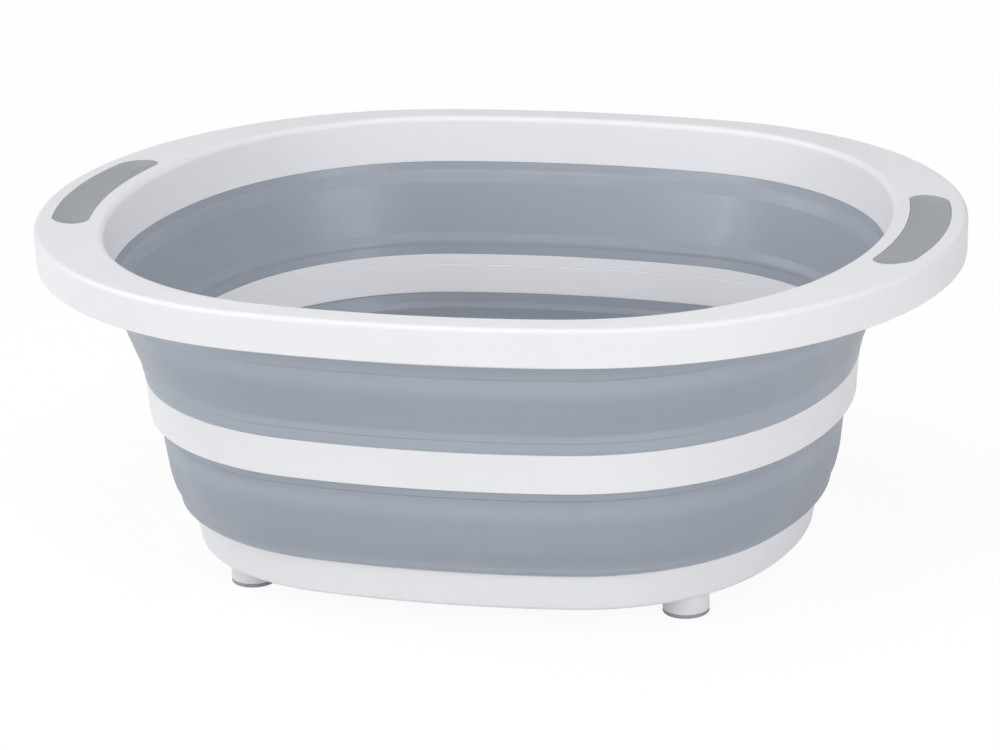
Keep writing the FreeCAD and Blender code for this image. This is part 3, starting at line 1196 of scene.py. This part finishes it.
@dataclass
class Rim:
    """Rigid rim: collar, flat flange and outer skirt, with a recess for each grip."""

    collar_draft: float = 1.8  # How far the collar's lower edge lies inside its upper edge
    collar_thickness: float = 2.6
    # Rounding of the collar's lower edge outside and inside
    collar_radii: tuple[float, float] = (0.2, 0.3)
    flange_thickness: float = 3.0
    skirt_height: float = 17.0
    skirt_thickness: float = 2.5
    skirt_draft: float = 0.5  # How far the skirt's lower edge lies inside its upper edge
    outer_radius: float = 2.2  # Rounding of the outer upper edge
    inner_radius: float = 2.8  # Rounding of the inner upper edge
    root_radius: float = 1.5  # Rounding under the flange
    edge_radius: float = 0.6  # Rounding of the skirt's lower edges
    # Flange drawn with the skirt and the collar, in their thicknesses with the root
    land: float = 1.35
    clearance: float = 1.0  # How far the solids that cut the recesses stand above the flange

    def skirt(self) -> Section:
        """The skirt, from the flange's top over its edge to the flange's underside.

        Returns:
            The section, open at both ends.
        """
        under, low = RIM_TOP - self.flange_thickness, RIM_TOP - self.skirt_height
        land = self.land * (self.skirt_thickness + self.root_radius)
        bends = [
            Bend(-land, RIM_TOP),
            Bend(0.0, RIM_TOP, self.outer_radius),
            Bend(-self.skirt_draft, low, self.edge_radius),
            Bend(-self.skirt_draft - self.skirt_thickness, low, self.edge_radius),
            Bend(-self.skirt_thickness, under, self.root_radius),
            Bend(-land, under),
        ]
        return Section(bends, closed=False, run=RIGID_RUN)

    def collar(self) -> Section:
        """The collar, from the flange's underside round its lower edge to the flange's top.

        Returns:
            The section, open at both ends.
        """
        under, low = RIM_TOP - self.flange_thickness, COLLAR_REACH - self.collar_draft
        land = COLLAR_REACH + self.land * (self.collar_thickness + self.root_radius)
        bends = [
            Bend(land, under),
            Bend(COLLAR_REACH + self.collar_thickness, under, self.root_radius),
            Bend(low + self.collar_thickness, COLLAR_BOTTOM, self.collar_radii[0]),
            Bend(low, COLLAR_BOTTOM, self.collar_radii[1]),
            Bend(COLLAR_REACH, RIM_TOP, self.inner_radius),
            Bend(land, RIM_TOP),
        ]
        return Section(bends, closed=False, run=RIGID_RUN)

    def build(self, grip: Grip) -> Piece:
        """Makes and dresses the rim.

        Args:
            grip: The grip that its recesses take.

        Returns:
            The rim.
        """
        rim = sweep("rim_moulding", self.skirt(), RIM_OVAL)
        collar = sweep("collar", self.collar(), RING_OVAL)
        only(rim)
        collar.select_set(True)
        bpy.ops.object.join()
        flange = (RIM_TOP, RIM_TOP - self.flange_thickness)
        close_at(rim, flange, bpy.ops.mesh.bridge_edge_loops)
        low, high = RIM_TOP - grip.depth, RIM_TOP + self.clearance
        right = grip.slab("recess", 0.0, low, high, False)
        left = mirrored(right, "recess_left")
        for tool in (right, left):
            combine(rim, tool, "DIFFERENCE")
        smooth(rim)
        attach(rim, Body.RIM.value)
        settle(rim, WHITE_PLASTIC, "rim_frame")
        return rim


@dataclass(frozen=True)
class SoftBox:
    """A large soft lamp that points at the bowl."""

    name: str
    place: tuple[float, float, float]  # Where it stands, in metres
    size: float  # Its width in metres
    power: float  # Its power in watts
    seen: bool = True  # Whether it shows in shiny surfaces

    def hang(self, aim: Vector) -> Piece:
        """Adds the lamp.

        Args:
            aim: What it points at.

        Returns:
            The lamp.
        """
        data = bpy.data.lights.new(self.name, "AREA")
        data.shape = "DISK"
        data.size = self.size
        data.energy = self.power
        lamp = bpy.data.objects.new(self.name, data)
        lamp.location = self.place
        lamp.visible_glossy = self.seen
        lamp.rotation_mode = "QUATERNION"
        lamp.rotation_quaternion = (aim - Vector(self.place)).to_track_quat("-Z", "Y")
        bpy.context.scene.collection.objects.link(lamp)
        return lamp


@dataclass
class Studio:
    """Camera, lamps, white surroundings and floor."""

    azimuth: float = 15.64  # Direction that the camera looks from, in degrees
    elevation: float = 18.78  # How far it looks down, in degrees
    distance: float = 1.882  # Distance of the camera from what it looks at, in metres
    slide: float = -0.0016  # How far that lies to the camera's right, in metres
    height: float = 0.0795  # How high that lies, in metres
    roll: float = -1.85  # Turn of the camera about its view, in degrees
    lens: float = 149.15  # Focal length in millimetres
    sensor: float = 36.0  # Width of the frame in millimetres
    clip: tuple[float, float] = (0.05, 50.0)  # Nearest and furthest that the camera sees, in metres
    surround: float = 0.3  # Strength of the light from all round
    surround_colour: Colour = (0.97, 0.98, 1.0)  # Colour of that light
    floor_size: float = 8.0  # Length of the floor's sides in metres
    floor_drop: float = 0.0002  # How far it lies below the feet, in metres
    floor_tone: Colour = (0.6, 0.6, 0.605)  # Its colour
    gloss_tone: Colour = (0.9, 0.9, 0.905)  # Its colour in shiny surfaces
    floor_glow: float = 0.2  # Strength of the light that comes up from it
    floor_white: float = 1.06  # Strength of the white that the camera sees it in
    white_share: float = 0.82  # Share of that white, the rest being the floor with its shadow
    aim_height: float = 0.08  # How high the lamps point, in metres
    boxes: tuple[SoftBox, ...] = (
        SoftBox("front_left_box", (-1.4, -1.7, 0.75), 1.0, 14.8),
        SoftBox("front_right_box", (1.7, -1.5, 0.75), 1.0, 12.0),
        SoftBox("front_right_high_box", (1.7, -1.5, 1.15), 1.0, 10.4),
        SoftBox("left_box", (-1.6, 0.0, 1.2), 1.0, 8.8),
        SoftBox("low_left_box", (-2.0, -0.3, 0.33), 0.62, 2.0),
        SoftBox("near_top_box", (0.05, -0.18, 1.0), 0.7, 2.1),
        SoftBox("top_front_box", (0.2, -0.9, 1.8), 1.2, 5.4),
        SoftBox("rear_box", (0.3, 2.2, 0.8), 1.2, 9.0, False),
    )

    def camera(self) -> Piece:
        """Adds the camera at the photograph's viewpoint.

        Returns:
            The camera.
        """
        turn, tilt, roll = (math.radians(v) for v in (self.azimuth, self.elevation, self.roll))
        level = math.cos(tilt)
        back = Vector((math.sin(turn) * level, -math.cos(turn) * level, math.sin(tilt)))
        right = (-back).cross(UP).normalized()
        up = right.cross(-back)
        side = right * math.cos(roll) + up * math.sin(roll)
        top = up * math.cos(roll) - right * math.sin(roll)
        data = bpy.data.cameras.new("photo_camera")
        data.sensor_fit = "HORIZONTAL"
        data.sensor_width = self.sensor
        data.lens = self.lens
        data.clip_start, data.clip_end = self.clip
        camera = bpy.data.objects.new("photo_camera", data)
        turned = Matrix((side, top, back)).transposed().to_4x4()
        turned.translation = right * self.slide + UP * self.height + back * self.distance
        camera.matrix_world = turned
        bpy.context.scene.collection.objects.link(camera)
        bpy.context.scene.camera = camera
        return camera

    def surroundings(self) -> None:
        """Makes the world: even light, and plain white where the camera sees it."""
        world = bpy.data.worlds.new("white_surroundings")
        bpy.context.scene.world = world
        world.use_nodes = True
        sheet = NodeSheet(world.node_tree)
        light = world.node_tree.nodes["Background"]
        light.inputs["Color"].default_value = (*self.surround_colour, 1.0)
        light.inputs["Strength"].default_value = self.surround
        white = sheet.add("Background", Color=WHITE, Strength=1.0)
        mix = sheet.add("MixShader")
        path = sheet.add("LightPath")
        sheet.link(
            (path, "Is Camera Ray", mix, 0),
            (light, "Background", mix, 1),
            (white, "Background", mix, 2),
            (mix, "Shader", world.node_tree.nodes["World Output"], "Surface"),
        )

    def floor(self) -> Piece:
        """Adds the pale floor, which shows white but keeps the bowl's shadow.

        Returns:
            The floor.
        """
        clear()
        place = (0.0, 0.0, -self.floor_drop)
        bpy.ops.mesh.primitive_plane_add(size=self.floor_size, location=place)
        floor = fresh("floor")
        material = bpy.data.materials.new("pale_floor")
        material.use_nodes = True
        sheet = NodeSheet(material.node_tree)
        nodes = material.node_tree.nodes
        path = sheet.add("LightPath")
        tone = sheet.mix_colours(self.floor_tone, self.gloss_tone)
        matte = sheet.add("BsdfDiffuse")
        glow = sheet.add("Emission", Color=WHITE, Strength=self.floor_glow)
        lit = sheet.add("AddShader")
        white = sheet.add("Emission", Color=WHITE, Strength=self.floor_white)
        share = sheet.add("Math", operation="MULTIPLY")
        share.inputs[1].default_value = self.white_share
        mix = sheet.add("MixShader")
        sheet.link(
            (path, "Is Glossy Ray", tone, 0),
            (tone, MIX_RESULT, matte, "Color"),
            (matte, "BSDF", lit, 0),
            (glow, "Emission", lit, 1),
            (path, "Is Camera Ray", share, 0),
            (share, "Value", mix, 0),
            (lit, "Shader", mix, 1),
            (white, "Emission", mix, 2),
            (mix, "Shader", nodes["Material Output"], "Surface"),
        )
        nodes.remove(nodes["Principled BSDF"])
        floor.data.materials.append(material)
        floor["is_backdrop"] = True
        return floor

    def build(self) -> None:
        """Sets up the whole studio."""
        bpy.context.scene.view_settings.view_transform = "Standard"
        self.camera()
        self.surroundings()
        self.floor()
        for box in self.boxes:
            box.hang(UP * self.aim_height)


def write_size() -> None:
    """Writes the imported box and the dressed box."""
    boxes = {"cad": CAD_BOX, "visual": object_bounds()}
    for name, box in boxes.items():
        LOG.info("%s box: %s", name, [[round(v, 5) for v in corner] for corner in box])


def main() -> None:
    """Builds the bowl's pieces in order, then the studio."""
    logging.basicConfig(level=logging.INFO, format="%(message)s")
    grip = Grip()
    BaseTray().build()
    LOWER_WALL.build()
    MiddleRing().build()
    UPPER_WALL.build()
    Rim().build(grip)
    grip.build()
    Studio().build()
    write_size()


if __name__ == "__main__":
    main()
